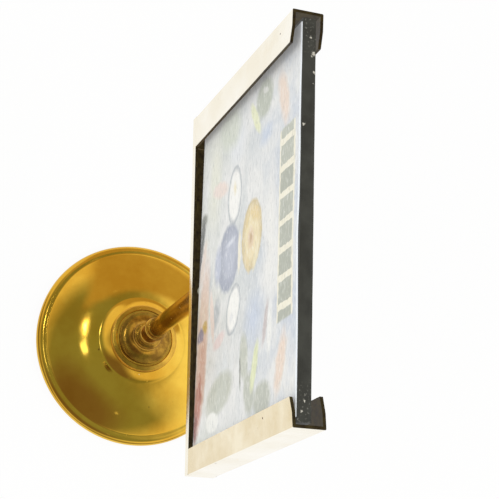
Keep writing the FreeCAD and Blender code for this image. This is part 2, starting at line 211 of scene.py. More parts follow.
def lathe(outline, turns=144):
    """Turned solid from its outline, a closed loop of radii and heights in mm."""
    bm = bmesh.new()
    rings = []
    for step in range(turns):
        angle = 2 * math.pi * step / turns
        rings.append([bm.verts.new((r * math.cos(angle) * MM, r * math.sin(angle) * MM, z * MM))
                      for r, z in outline])
    for step in range(turns):
        here, there = rings[step], rings[(step + 1) % turns]
        for point in range(len(outline)):
            after = (point + 1) % len(outline)
            bm.faces.new((here[point], there[point], there[after], here[after]))
    return bm


def sized(tree, size_mm):
    """Position on the piece, in units of a size in millimetres."""
    where = add(tree, "ShaderNodeTexCoord").outputs["Object"]
    return add(tree, "ShaderNodeMapping", {"Vector": where, "Scale": (1 / (size_mm * MM),) * 3})


def brass(name, bright, dull, cloud_mm, roughness, lines_mm):
    """Polished brass under old lacquer: cloudy tarnish, specks, faint tool lines."""
    made, tree, shader = new_material(name)
    clouds = add(tree, "ShaderNodeTexNoise", {"Vector": sized(tree, cloud_mm), "Scale": 1.0, "Detail": 5.0,
                                              "Roughness": 0.62})
    clear = add(tree, "ShaderNodeMapRange", {"Value": clouds, "From Min": 0.40, "From Max": 0.62})
    tone = add(tree, "ShaderNodeMix", {"Factor": clear, "A": colour(dull), "B": colour(bright)},
               data_type="RGBA")
    # a speck in a few of the 8 mm cells: some brown, some pale
    cells = add(tree, "ShaderNodeTexVoronoi", {"Vector": sized(tree, 8.0), "Scale": 1.0}).outputs
    chosen = add(tree, "ShaderNodeSeparateColor", {0: cells["Color"]}).outputs
    near = add(tree, "ShaderNodeMapRange", {"Value": cells["Distance"], "From Min": 0.065, "From Max": 0.03})
    for channel, code, share in (("Red", "#5A3A1C", 0.72), ("Green", "#F0D9A8", 0.80)):
        few = add(tree, "ShaderNodeMapRange", {"Value": chosen[channel], "From Min": share,
                                               "From Max": share + 0.05})
        speck = add(tree, "ShaderNodeMath", {0: near, 1: few}, operation="MULTIPLY")
        tone = add(tree, "ShaderNodeMix", {"Factor": speck, "A": tone, "B": colour(code)}, data_type="RGBA")
    tree.links.new(tone.outputs["Result"], shader.inputs["Base Color"])
    shader.inputs["Metallic"].default_value = 1.0
    haze = add(tree, "ShaderNodeMapRange", {"Value": clouds, "From Min": 0.3, "From Max": 0.7,
                                            "To Min": roughness * 1.8, "To Max": roughness})
    rough = add(tree, "ShaderNodeMath", {0: near, 1: 0.25, 2: haze}, operation="MULTIPLY_ADD")
    tree.links.new(rough.outputs[0], shader.inputs["Roughness"])
    # rings about the upright axis, as a lathe leaves them
    where = add(tree, "ShaderNodeSeparateXYZ", {0: sized(tree, lines_mm)}).outputs
    flat = add(tree, "ShaderNodeCombineXYZ", {"X": where["X"], "Y": where["Y"]})
    radius = add(tree, "ShaderNodeVectorMath", {0: flat}, operation="LENGTH").outputs["Value"]
    along = add(tree, "ShaderNodeMath", {0: radius, 1: where["Z"]}, operation="ADD")
    rings = add(tree, "ShaderNodeTexNoise", {"W": along, "Scale": 1.0, "Detail": 2.0}, noise_dimensions="1D")
    lines = add(tree, "ShaderNodeBump", {"Height": rings, "Strength": 0.05, "Distance": 0.05 * MM})
    waves = add(tree, "ShaderNodeTexNoise", {"Vector": sized(tree, 11.0), "Scale": 1.0})
    bump = add(tree, "ShaderNodeBump", {"Height": waves, "Normal": lines, "Strength": 0.25,
                                        "Distance": 0.25 * MM})
    tree.links.new(bump.outputs[0], shader.inputs["Normal"])
    return made


# polished yellow brass: mirror-like, deep gold where it sees white, olive where it sees the room
spun_brass = brass("spun_yellow_brass", "#E9BF4E", "#D9A93C", 34.0, 0.075, 0.45)

shell_low, shell_high = [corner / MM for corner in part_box("base_shell")]
boss_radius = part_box("boss_ring")[1].x / MM
SHELL_WALL = 1.2
ROD_HOLE = 2.6
DOME_RADIUS = 58.0                # of the dome's long curve
DOME_SHIFT = 19.5                 # of that curve's centre, from the axis
FLARE_HEIGHT = 2.6                # of the sweep up to the boss
FLARE_LENGTH = 4.6
ROLL_INSIDE = 44.9                # where the dome meets the rolled rim
ROLL_TOP = 4.60                   # of the roll, and of the fine line inside it
ROLL_MIDDLE = 2.2                 # height of the centres of the roll's two curves
ROLL_OVER = 45.9                  # centre of its upper curve, from the axis
ROLL_UNDER = 47.0                 # and of its lower one


def dome_height(r):
    """Height of the dome's outside: a long curve with a flare towards the boss."""
    curve = math.sqrt(DOME_RADIUS ** 2 - (r - DOME_SHIFT) ** 2) - DOME_RADIUS
    left_of_flare = max(0.0, 1 - (r - boss_radius) / FLARE_LENGTH)
    return shell_high.z - FLARE_HEIGHT + curve + FLARE_HEIGHT * left_of_flare ** 1.35


sweep = [boss_radius + (ROLL_INSIDE - 0.6 - boss_radius) * (step / 40) ** 1.4 for step in range(41)]
outside = [(ROD_HOLE, shell_high.z), (boss_radius - 1, shell_high.z)]
outside += [(r, dome_height(r)) for r in sweep]
outside += [(ROLL_INSIDE - 0.25, ROLL_TOP + 0.16), (ROLL_INSIDE, ROLL_TOP), (ROLL_INSIDE + 0.35, ROLL_TOP)]
outside += arc(ROLL_OVER, ROLL_MIDDLE, shell_high.x - ROLL_OVER, ROLL_TOP - ROLL_MIDDLE, 90, 0, 14)
outside += arc(ROLL_UNDER, ROLL_MIDDLE, shell_high.x - ROLL_UNDER, ROLL_MIDDLE - shell_low.z, -12, -90, 8)
inside = [(45.3, 0.9), (ROLL_INSIDE + 0.1, 2.4), (44.2, 3.5)]
inside += [(r, dome_height(r) - SHELL_WALL) for r in reversed(sweep[6:-3])]
inside += [(ROD_HOLE, dome_height(sweep[6]) - SHELL_WALL)]
placed("foot_shell_spun", lathe(outside + inside), [spun_brass], "foot", ["base_shell"], 40)


# ---- Boss -----------------------------------------------------------------------
# Ring and cap turned from brass bar and clamped on the dome by the rod: a flat
# ring with a rounded edge, then a cap that hollows up to a small beaded collar.
# turned brass: deeper gold than the dome, with fine tool rings
turned_brass = brass("turned_brass", "#DDAE48", "#B98F3A", 9.0, 0.11, 0.30)
# turned brass painted darker and browner for the cap, neck and bead: painted shade for the hollowed cap and
# the narrow neck
shade_darkened_brass = brass("shade_darkened_turned_brass", "#C3973F", "#8C662B", 7.0, 0.15, 0.30)

ring_low, ring_high = [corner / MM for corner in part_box("boss_ring")]
EDGE = 0.9
CROWN = 0.16                      # fall of the ring's top from its middle to its edge
SEAT_LINE = 13.6                  # fine groove turned where the cap stands
ring_outline = [(ROD_HOLE, ring_low.z), (ring_high.x - 0.3, ring_low.z), (ring_high.x, ring_low.z + 0.3)]
ring_outline += arc(ring_high.x - EDGE, ring_high.z - EDGE - CROWN, EDGE, EDGE, 0, 88)
ring_outline += [(SEAT_LINE + 0.25, ring_high.z), (SEAT_LINE, ring_high.z - 0.22),
                 (SEAT_LINE - 0.25, ring_high.z), (ROD_HOLE, ring_high.z)]
placed("boss_ring_turned", lathe(ring_outline), [turned_brass], "foot", ["boss_ring"])

cap_low, cap_high = [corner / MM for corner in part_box("boss_cap")]
CAP_STEP = 1.1
COVE_FOOT = 11.7
COLLAR_BEAD = 0.8
collar_radius = 6.7
cove_top = cap_high.z - 2 * COLLAR_BEAD
cap_outline = [(ROD_HOLE, cap_low.z), (cap_high.x, cap_low.z)]
cap_outline += arc(cap_high.x - 0.3, cap_low.z + CAP_STEP - 0.3, 0.3, 0.3, 0, 90, 3)
cap_outline += arc(COVE_FOOT, cove_top, COVE_FOOT - collar_radius + 0.5, cove_top - cap_low.z - CAP_STEP,
                   -90, -180, 14)
cap_outline += arc(collar_radius - COLLAR_BEAD, cap_high.z - COLLAR_BEAD, COLLAR_BEAD, COLLAR_BEAD,
                   -70, 90, 10)
cap_outline += [(ROD_HOLE, cap_high.z)]
placed("boss_cap_turned", lathe(cap_outline), [shade_darkened_brass], "foot", ["boss_cap"])


# ---- Stem -----------------------------------------------------------------------
# Neck and beads turned from bar, a drawn tube between them, and a ferrule under
# the rail, all threaded on one rod so that they turn with the frame.
# drawn brass: paler and greyer than the turned parts, clouded by handling
drawn_brass = brass("drawn_brass_tube", "#C9A35A", "#A88545", 14.0, 0.10, 0.60)

ROD_PASS = 2.8
neck_low, neck_high = [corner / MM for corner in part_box("neck")]
NECK_RADIUS = 3.8
neck_outline = [(ROD_PASS, neck_low.z), (neck_high.x, neck_low.z), (neck_high.x, neck_low.z + 0.5)]
neck_outline += arc(neck_high.x - 0.1, neck_low.z + 3.8, neck_high.x - 0.1 - NECK_RADIUS, 3.2, -90, -180, 10)
neck_outline += [(NECK_RADIUS, neck_high.z - 1.2)]
neck_outline += arc(NECK_RADIUS + 1.0, neck_high.z - 1.2, 1.0, 1.2, 180, 90, 6) + [(ROD_PASS, neck_high.z)]
placed("neck_turned", lathe(neck_outline, 96), [shade_darkened_brass], "head", ["neck"])

bead_low, bead_high = [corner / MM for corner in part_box("stem_bead")]
tube_low, tube_high = [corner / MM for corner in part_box("stem_tube")]
BEAD_HALF = 1.5
STEP_RADIUS = 4.8
SPIGOT = 3.2
bead_outline = [(ROD_PASS, bead_low.z)]
bead_outline += arc(bead_high.x - BEAD_HALF, bead_low.z + BEAD_HALF, BEAD_HALF, BEAD_HALF, -90, 75, 14)
bead_outline += [(STEP_RADIUS - 0.3, bead_low.z + 3.05), (STEP_RADIUS, bead_low.z + 3.3)]
bead_outline += arc(STEP_RADIUS - 0.4, tube_low.z - 0.4, 0.4, 0.4, 0, 90, 4)
bead_outline += [(SPIGOT, tube_low.z), (SPIGOT, bead_high.z), (ROD_PASS, bead_high.z)]
placed("stem_bead_turned", lathe(bead_outline, 96), [shade_darkened_brass], "head",
       ["stem_bead"])

TUBE_BORE = 3.25
CHAMFER = 0.15
tube_outline = [(TUBE_BORE, tube_low.z), (tube_high.x - CHAMFER, tube_low.z),
                (tube_high.x, tube_low.z + CHAMFER), (tube_high.x, tube_high.z - CHAMFER),
                (tube_high.x - CHAMFER, tube_high.z), (TUBE_BORE, tube_high.z)]
placed("stem_tube_drawn", lathe(tube_outline, 96), [drawn_brass], "head", ["stem_tube"])

ferrule_low, ferrule_high = [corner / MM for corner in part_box("top_ferrule")]
SCREW_BORE = 1.5
ROD_GRIP = 2.5
FLANGE = 1.4
grip_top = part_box("tie_rod")[1].z / MM + 0.1
ferrule_outline = [(SCREW_BORE, ferrule_high.z)]
ferrule_outline += arc(ferrule_high.x - 0.4, ferrule_high.z - FLANGE / 2, 0.4, FLANGE / 2, 90, -90, 8)
ferrule_outline += arc(ferrule_high.x - 0.4, tube_high.z, 1.1, 1.8, 90, 180, 6)
ferrule_outline += [(SPIGOT, tube_high.z), (SPIGOT, ferrule_low.z), (ROD_GRIP, ferrule_low.z),
                    (ROD_GRIP, grip_top), (SCREW_BORE, grip_top)]
placed("top_ferrule_turned", lathe(ferrule_outline, 96), [turned_brass], "head",
       ["top_ferrule"])


# ---- Weight, felt and fastenings ------------------------------------------------
# Out of sight in the foot: a sand-cast iron slug, a glued felt disc, and the
# zinc-plated rod, nut, washer and screw that hold the stand together.
def dress(node, material):
    """Give a carried-over part its material."""
    part = NODES[node]
    part.data.materials.clear()
    part.data.materials.append(material)


# cast iron: near black, matt and pitted from the sand mould
cast_iron, tree, shader = new_material("rough_cast_iron")
sand = add(tree, "ShaderNodeTexNoise", {"Vector": sized(tree, 1.2), "Scale": 1.0, "Detail": 6.0})
tone = add(tree, "ShaderNodeMix", {"Factor": sand, "A": colour("#232323"), "B": colour("#4A4846")},
           data_type="RGBA")
tree.links.new(tone.outputs["Result"], shader.inputs["Base Color"])
matt = add(tree, "ShaderNodeMapRange", {"Value": sand, "To Min": 0.70, "To Max": 0.90})
tree.links.new(matt.outputs[0], shader.inputs["Roughness"])
pits = add(tree, "ShaderNodeBump", {"Height": sand, "Strength": 0.5, "Distance": 0.3 * MM})
tree.links.new(pits.outputs[0], shader.inputs["Normal"])
dress("base_weight", cast_iron)

# pressed wool felt: dull green with a soft nap and pale fibres
green_felt, tree, shader = new_material("pressed_green_felt")
fibre = add(tree, "ShaderNodeTexNoise", {"Vector": sized(tree, 0.35), "Scale": 1.0, "Detail": 4.0})
tone = add(tree, "ShaderNodeMix", {"Factor": fibre, "A": colour("#12301C"), "B": colour("#2F5E3A")},
           data_type="RGBA")
tree.links.new(tone.outputs["Result"], shader.inputs["Base Color"])
matt = add(tree, "ShaderNodeMapRange", {"Value": fibre, "To Min": 0.88, "To Max": 1.0})
tree.links.new(matt.outputs[0], shader.inputs["Roughness"])
shader.inputs["Sheen Weight"].default_value = 0.4
nap = add(tree, "ShaderNodeBump", {"Height": fibre, "Strength": 0.8, "Distance": 0.2 * MM})
tree.links.new(nap.outputs[0], shader.inputs["Normal"])
dress("felt_pad", green_felt)

# zinc plate: grey, slightly blotched, with a satin gleam
zinc_steel, tree, shader = new_material("zinc_plated_steel")
spangle = add(tree, "ShaderNodeTexNoise", {"Vector": sized(tree, 1.5), "Scale": 1.0, "Detail": 3.0})
tone = add(tree, "ShaderNodeMix", {"Factor": spangle, "A": colour("#8E8E88"), "B": colour("#CFCFC8")},
           data_type="RGBA")
tree.links.new(tone.outputs["Result"], shader.inputs["Base Color"])
shader.inputs["Metallic"].default_value = 1.0
satin = add(tree, "ShaderNodeMapRange", {"Value": spangle, "To Min": 0.28, "To Max": 0.42})
tree.links.new(satin.outputs[0], shader.inputs["Roughness"])
threads = add(tree, "ShaderNodeBump", {"Height": spangle, "Strength": 0.15, "Distance": 0.1 * MM})
tree.links.new(threads.outputs[0], shader.inputs["Normal"])
for name in ("tie_rod", "rod_nut", "rod_washer", "rail_screw"):
    dress(name, zinc_steel)


# ---- Rail and channels ----------------------------------------------------------
# Folded from pale brass sheet and polished outside; the folds' insides, the lips' free edges and
# the sawn ends are as they came, brown and dull, darkened further with painted shade, and the lips are not
# quite straight.
def folded(node, axis_low, axis_high, slices, dull_ways):
    """Copy of a folded part, cut into slices; material 1, darkened with painted shade, inside the fold and
    where it faces a dull way.
    """
    bm = bmesh.new()
    bm.from_mesh(NODES[node].data)
    bmesh.ops.remove_doubles(bm, verts=bm.verts, dist=0.002 * MM)
    bmesh.ops.dissolve_limit(bm, angle_limit=math.radians(1), verts=bm.verts, edges=bm.edges)
    run = axis_high - axis_low
    for step in range(1, slices):
        bmesh.ops.bisect_plane(bm, geom=bm.verts[:] + bm.edges[:] + bm.faces[:],
                               plane_co=axis_low + run * step / slices, plane_no=run)
    bm.normal_update()
    way = run.normalized()
    for face in bm.faces:
        middle = face.calc_center_median()
        inward = axis_low + way * (middle - axis_low).dot(way) - middle
        inside = face.normal.dot(inward) > 0 and abs(face.normal.dot(way)) < 0.8
        dull = any(face.normal.dot(Vector(dull_way)) > 0.8 for dull_way in dull_ways)
        face.material_index = 1 if inside or dull else 0
    return bm


def broken_edges(piece, width_mm):
    """Take the sharpness off a piece's edges."""
    bevel = piece.modifiers.new("broken_edges", "BEVEL")
    bevel.width = width_mm * MM
    bevel.segments = 2
    bevel.limit_method = "ANGLE"
    bevel.angle_limit = math.radians(40)
    bevel.harden_normals = True


# polished brass, its colour painted nearly white: painted reflection of the white table it mirrors, hazed in
# long clouds
sheet_brass = brass("polished_brass_painted_white_reflection", "#FCF7EA", "#F6EEDA", 30.0, 0.11, 0.8)

# sheet brass as rolled, oxidised: brown to olive, dull, streaked, and painted near black: painted shade
# inside the folds and on the edges
oxide_and_shade_brass, tree, shader = new_material("oxide_and_shade_sheet_brass")
stain = add(tree, "ShaderNodeTexNoise", {"Vector": sized(tree, 3.0), "Scale": 1.0, "Detail": 6.0,
                                         "Roughness": 0.7})
clean = add(tree, "ShaderNodeMapRange", {"Value": stain, "From Min": 0.35, "From Max": 0.65})
tone = add(tree, "ShaderNodeMix", {"Factor": clean, "A": colour("#261D15"), "B": colour("#4A4026")},
           data_type="RGBA")
tree.links.new(tone.outputs["Result"], shader.inputs["Base Color"])
shader.inputs["Metallic"].default_value = 0.85
blotch = add(tree, "ShaderNodeMapRange", {"Value": stain, "To Min": 0.36, "To Max": 0.50})
tree.links.new(blotch.outputs[0], shader.inputs["Roughness"])
scratch = add(tree, "ShaderNodeBump", {"Height": stain, "Strength": 0.3, "Distance": 0.1 * MM})
tree.links.new(scratch.outputs[0], shader.inputs["Normal"])

# the same sheet, darker and yellower on the right channel's front faces: painted shade
front_shaded_brass = brass("front_shaded_sheet_brass", "#F6EACD", "#E9D8B2", 22.0, 0.13, 0.8)

# the same sheet under the rail: satin, where it was never polished, and painted greyer and darker: painted
# shade for its underside
underside_shaded_brass = brass("underside_shaded_sheet_brass", "#9F957F", "#847B68", 12.0, 0.34, 0.8)

LIP_WAVE = 0.12                   # how far a lip's free edge wanders from straight
LIP_WAVE_LENGTH = 28.0
for name in ("left_channel", "right_channel"):
    low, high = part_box(name)
    web_x, open_way = (low.x, 1) if name == "left_channel" else (high.x, -1)
    middle_x = (low.x + high.x) / 2
    # the folds' insides, the open side and both ends take the dark copy: painted shade over oxide
    bm = folded(name, Vector((middle_x, 0, low.z)), Vector((middle_x, 0, high.z)), 36,
                [(open_way, 0, 0), (0, 0, 1), (0, 0, -1)])
    for vert in bm.verts:
        free = abs(vert.co.x - web_x) / (high.x - low.x)
        wander = noise.noise(Vector((vert.co.z / (LIP_WAVE_LENGTH * MM), vert.co.x, 3.0 * web_x)))
        vert.co.y += LIP_WAVE * MM * wander * free * min(1.0, (vert.co.z - low.z) / (20 * MM))
    # the right channel's front faces take the darker, yellower copy: painted shade
    for face in bm.faces:
        if name == "right_channel" and face.material_index == 0 and face.normal.y < -0.8:
            face.material_index = 2
    broken_edges(placed(name + "_folded", bm, [sheet_brass, oxide_and_shade_brass, front_shaded_brass], "head",
                        [name]), 0.18)

rail_low, rail_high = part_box("bottom_rail")
rail_middle = (rail_low.z + rail_high.z) / 2
bm = folded("bottom_rail", Vector((rail_low.x, 0, rail_middle)), Vector((rail_high.x, 0, rail_middle)), 24,
            [(0, 0, 1)])
# the rail's underside takes the greyer, darker copy: painted shade
for face in bm.faces:
    if face.normal.z < -0.8:
        face.material_index = 2
broken_edges(placed("bottom_rail_folded", bm, [sheet_brass, oxide_and_shade_brass, underside_shaded_brass], "head",
                    ["bottom_rail"]), 0.15)
for name in ("left_rivet", "right_rivet"):
    dress(name, sheet_brass)


# ---- Board ----------------------------------------------------------------------
# Thick fibreboard, sawn and painted black by hand: the paint is matt and a
# little lumpy along the edges, with white chips where it rubs in the channels.
def slanted(node):
    """Place, and size, of a carried-over slab that is turned a little about the upright."""
    points = [vert.co for vert in NODES[node].data.vertices]
    middle = sum(points, Vector()) / len(points)
    ends = [[p for p in points if (p.x > middle.x) == right_end] for right_end in (False, True)]
    left_end, right_end = [sum(end, Vector()) / len(end) for end in ends]
    along = right_end - left_end
    turn = Matrix.Rotation(math.atan2(along.y, along.x), 4, "Z")
    straight = [turn.inverted() @ (p - middle) for p in points]
    size = Vector([max(p[i] for p in straight) - min(p[i] for p in straight) for i in range(3)])
    return Matrix.Translation(middle) @ turn, size


def slab(size, cells):
    """Closed block about the origin, each of its faces split into cells."""
    bm = bmesh.new()
    for axis in range(3):
        a, b = (axis + 1) % 3, (axis + 2) % 3
        for end in (-0.5, 0.5):
            grid = {}
            for i in range(cells[a] + 1):
                for j in range(cells[b] + 1):
                    spot = Vector((0, 0, 0))
                    spot[axis], spot[a], spot[b] = end, i / cells[a] - 0.5, j / cells[b] - 0.5
                    grid[i, j] = bm.verts.new(Vector([spot[n] * size[n] for n in range(3)]))
            for i in range(cells[a]):
                for j in range(cells[b]):
                    bm.faces.new((grid[i, j], grid[i + 1, j], grid[i + 1, j + 1], grid[i, j + 1]))
    bmesh.ops.remove_doubles(bm, verts=bm.verts, dist=0.01 * MM)
    return bm


def spot_mask(tree, where, mark, soft):
    """Soft-edged oval mask, for a mix that clamps it: middle, half sizes and turn in degrees."""
    x, z, wide, high, turn = mark
    inside = add(tree, "ShaderNodeMapping", {"Vector": where, "Location": (x, 0, z),
                                             "Rotation": (0, math.radians(-turn), 0),
                                             "Scale": (wide, 1000, high)}, vector_type="TEXTURE")
    far = add(tree, "ShaderNodeVectorMath", {0: inside}, operation="LENGTH").outputs["Value"]
    return add(tree, "ShaderNodeMapRange", {"Value": far, "From Min": 1.0, "From Max": 1.0 - soft},
               clamp=False)


def ragged(tree, size_mm, throw_mm):
    """Position in millimetres, shaken so that marks painted by it get ragged edges."""
    where = sized(tree, 1.0)
    shake = add(tree, "ShaderNodeTexNoise", {"Vector": where, "Scale": 1 / size_mm, "Detail": 3.0})
    centred = add(tree, "ShaderNodeVectorMath", {0: shake.outputs["Color"], 1: (0.5, 0.5, 0.5)},
                  operation="SUBTRACT")
    return add(tree, "ShaderNodeVectorMath", {0: centred, 1: (throw_mm,) * 3, 2: where},
               operation="MULTIPLY_ADD")


# brushed-on black emulsion: matt charcoal, patchy, rubbed grey, chipped to the pale primer
black_paint, tree, shader = new_material("black_painted_fibreboard")
patchy = add(tree, "ShaderNodeTexNoise", {"Vector": sized(tree, 7.0), "Scale": 1.0, "Detail": 6.0})
thick = add(tree, "ShaderNodeMapRange", {"Value": patchy, "From Min": 0.35, "From Max": 0.65})
tone = add(tree, "ShaderNodeMix", {"Factor": thick, "A": colour("#252624"), "B": colour("#393A36")},
           data_type="RGBA")
board_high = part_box("backing_board")[1] / MM
# rubbed where the channels hold it
place = add(tree, "ShaderNodeSeparateXYZ", {0: sized(tree, 1.0)}).outputs
off_middle = add(tree, "ShaderNodeMath", {0: place["X"]}, operation="ABSOLUTE")
by_channel = add(tree, "ShaderNodeMapRange", {"Value": off_middle, "From Min": board_high.x - 16,
                                              "From Max": board_high.x - 8})
dust = add(tree, "ShaderNodeTexNoise", {"Vector": sized(tree, 0.9), "Scale": 1.0, "Detail": 2.0})
fleck = add(tree, "ShaderNodeMapRange", {"Value": dust, "From Min": 0.61, "From Max": 0.69})
rubbed = add(tree, "ShaderNodeMath", {0: by_channel, 1: fleck}, operation="MULTIPLY")
tone = add(tree, "ShaderNodeMix", {"Factor": rubbed, "A": tone, "B": colour("#6E6D66")}, data_type="RGBA")
# chips along the top edge: across, front to back, and half size
torn = ragged(tree, 0.7, 1.6)
CHIPS = [(-61.5, 2.5, 1.0), (-60.4, 1.6, 0.45), (-54.0, 2.7, 0.65), (-49.5, 2.3, 0.35), (-33.0, -1.6, 0.6),
         (9.0, 2.4, 0.35), (68.5, -1.4, 0.5), (72.0, -2.6, 0.4), (-68.0, 1.4, 0.5)]
chipped = 0.0
for x, y, size in CHIPS:
    around = add(tree, "ShaderNodeMapping", {"Vector": torn, "Location": (x, y, board_high.z),
                                             "Scale": (size, size, 0.9)}, vector_type="TEXTURE")
    far = add(tree, "ShaderNodeVectorMath", {0: around}, operation="LENGTH").outputs["Value"]
    chip = add(tree, "ShaderNodeMapRange", {"Value": far, "From Min": 1.0, "From Max": 0.6})
    chipped = add(tree, "ShaderNodeMath", {0: chipped, 1: chip}, operation="MAXIMUM")
tone = add(tree, "ShaderNodeMix", {"Factor": chipped, "A": tone, "B": colour("#BFBBB0")}, data_type="RGBA")
tree.links.new(tone.outputs["Result"], shader.inputs["Base Color"])
rough = add(tree, "ShaderNodeMapRange", {"Value": patchy, "From Min": 0.3, "From Max": 0.7, "To Min": 0.48,
                                         "To Max": 0.72})
tree.links.new(rough.outputs[0], shader.inputs["Roughness"])
brushed = add(tree, "ShaderNodeTexNoise", {"Vector": sized(tree, 1.6), "Scale": 1.0, "Detail": 4.0})
lumps = add(tree, "ShaderNodeBump", {"Height": brushed, "Strength": 0.45, "Distance": 0.25 * MM})
dents = add(tree, "ShaderNodeBump", {"Height": chipped, "Normal": lumps, "Strength": 0.6,
                                     "Distance": 0.3 * MM}, invert=True)
tree.links.new(dents.outputs[0], shader.inputs["Normal"])

BOARD_ROUND = 0.45                # its edges, worn by hand
BOARD_LUMP = 0.16                 # depth of the paint's lumps
EDGE_SHARE = 0.485                # past this share of its size, a point is on an edge
EDGE_LUMPS = 5.5                  # length of a lump along the edges
FACE_LUMPS = 16.0                 # and on the faces
board_place, board_size = slanted("backing_board")
bm = slab(board_size, (110, 5, 78))
core = board_size / 2 - Vector((BOARD_ROUND,) * 3) * MM
for vert in bm.verts:
    inner = Vector([max(-core[n], min(core[n], vert.co[n])) for n in range(3)])
    out = vert.co - inner
    if out.length > BOARD_ROUND * MM:
        vert.co = inner + out.normalized() * BOARD_ROUND * MM
    rim = max(abs(vert.co.x) / board_size.x, abs(vert.co.z) / board_size.z) > EDGE_SHARE
    lump_length = (EDGE_LUMPS if rim else FACE_LUMPS) * MM
    lump = noise.noise(vert.co / lump_length) * (1.0 if rim else 0.3)
    vert.co -= vert.co.normalized() * BOARD_LUMP * MM * (0.5 + 0.5 * lump) * (1.0 if rim else 0.4)
bm.transform(board_place)
placed("backing_board_painted", bm, [black_paint], "panel", ["backing_board"], 60)


# ---- Picture --------------------------------------------------------------------
# Glossy colour print of a painted still life, flowers in a blue-grey vase under
# a band of plain tiles, stuck to the board; its top edge has lifted a little.
# print paper: washed-out pastels under a clear gloss that mirrors the table
print_paper, tree, shader = new_material("glossy_print_paper")
sheet_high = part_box("photo_print")[1] / MM
brushy = ragged(tree, 5.0, 4.0)
neat = ragged(tree, 3.0, 1.6)
spot = add(tree, "ShaderNodeSeparateXYZ", {0: neat}).outputs
upward = add(tree, "ShaderNodeMapRange", {"Value": spot["Z"], "From Min": 112.0, "From Max": 200.0},
             clamp=False)
tone = add(tree, "ShaderNodeMix", {"Factor": upward, "A": colour("#D6D9D3"), "B": colour("#CAD1DD")},
           data_type="RGBA")
wash = add(tree, "ShaderNodeTexNoise", {"Vector": sized(tree, 22.0), "Scale": 1.0, "Detail": 5.0})
thin = add(tree, "ShaderNodeMapRange", {"Value": wash, "From Min": 0.42, "From Max": 0.60}, clamp=False)
tone = add(tree, "ShaderNodeMix", {"Factor": thin, "A": tone, "B": colour("#E6E7E7")}, data_type="RGBA")
# middle across and up, half width, half height, turn, colour, softness of the edge
GROUND = [(0, 181, 44, 8, 0, "#ECECEA", 0.8), (-42, 175, 6, 8, 20, "#C3CEE0", 0.7),
          (29, 166, 13, 12, 0, "#C6D0E2", 0.8), (-50, 144, 12, 12, -35, "#E0E4E9", 0.6),
          (-60, 134, 12, 17, -24, "#D0D6C9", 0.5), (44, 134, 14, 13, 0, "#DCE0E2", 0.6),
          (-42, 118, 26, 10, 3, "#E3E4D6", 0.7), (2, 115, 9, 5, 0, "#C3C9CE", 0.7),
          (17, 125, 8, 5, -20, "#B9C0C6", 0.6), (-50, 192, 15, 5.5, 19, "#EBD8C9", 0.5),
          (52, 193, 14, 5, -16, "#EAD6C6", 0.5), (4, 208, 80, 3, 0, "#C9D4E2", 0.8)]
LEAVES = [(-58, 172, 9.5, 10, 0, "#B7BDAF", 0.3), (-61, 173, 1.6, 4, -20, "#DCDED8", 0.5),
          (-53, 163, 11, 3.0, 34, "#E6E9C2", 0.35), (62, 176, 8, 9.5, 0, "#B8BCB0", 0.3),
          (57, 163, 10, 6, 16, "#BCC0B4", 0.35), (42, 157, 11, 5, 8, "#C2C6BA", 0.35),
          (48, 168, 11, 3.2, -16, "#DFE5B8", 0.35), (47, 153.5, 9, 1.0, 4, "#868A82", 0.5),
          (51, 131, 9.0, 17, 12, "#C3C7BC", 0.3), (61, 124, 4.6, 8, -10, "#F1F2EE", 0.25),
          (34, 178, 10, 2.4, -14, "#C9BFBF", 0.4), (37, 182, 12, 3.0, -2, "#EFF0EE", 0.5)]
VASE = [(-3, 137, 15, 13, 0, "#9AA1B4", 0.14), (-3, 139, 13, 11, 0, "#B6BCCE", 0.6),
        (-3, 125, 10, 5, 0, "#BAC1D4", 0.5), (-2, 149, 10, 2.0, 0, "#F2ECD8", 0.35),
        (-9, 139, 1.6, 8, 6, "#D6DBE8", 0.8)]
BLOOMS = [(-5, 162, 15, 11, 0, "#CDB988", 0.10), (-5, 162, 14.3, 10.4, 0, "#EDDDB0", 0.4),
          (-13, 165, 3.6, 8, -30, "#E6CF96", 0.5), (4, 167, 8, 2.6, -24, "#EFE3BC", 0.5),
          (4, 157, 8, 2.2, 28, "#E6D3A2", 0.5), (-12, 157, 6, 2.0, -34, "#E3CE98", 0.5),
          (-4, 161, 5.6, 4.0, 0, "#E2C8A4", 0.5), (-4, 161, 2.6, 2.0, 0, "#C7A478", 0.7),
          (-28, 142, 13, 8, 0, "#A5ACB4", 0.08),
          (-28, 142, 12.4, 7.5, 0, "#F7F7F4", 0.25), (-31, 142, 4.2, 2.2, 12, "#EFE6C9", 0.8),
          (20, 144, 10.6, 7.6, -18, "#A5ACB4", 0.08), (20, 144, 10.1, 7.1, -18, "#F7F7F4", 0.25),
          (23, 142, 3.4, 2.6, -30, "#E9EAEC", 0.9), (-36, 125, 4.2, 11, -14, "#ECDCD3", 0.4),
          (29, 129, 3.4, 8, 16, "#E5D3D1", 0.4), (17, 120, 14, 2.6, 12, "#EADAD2", 0.4)]
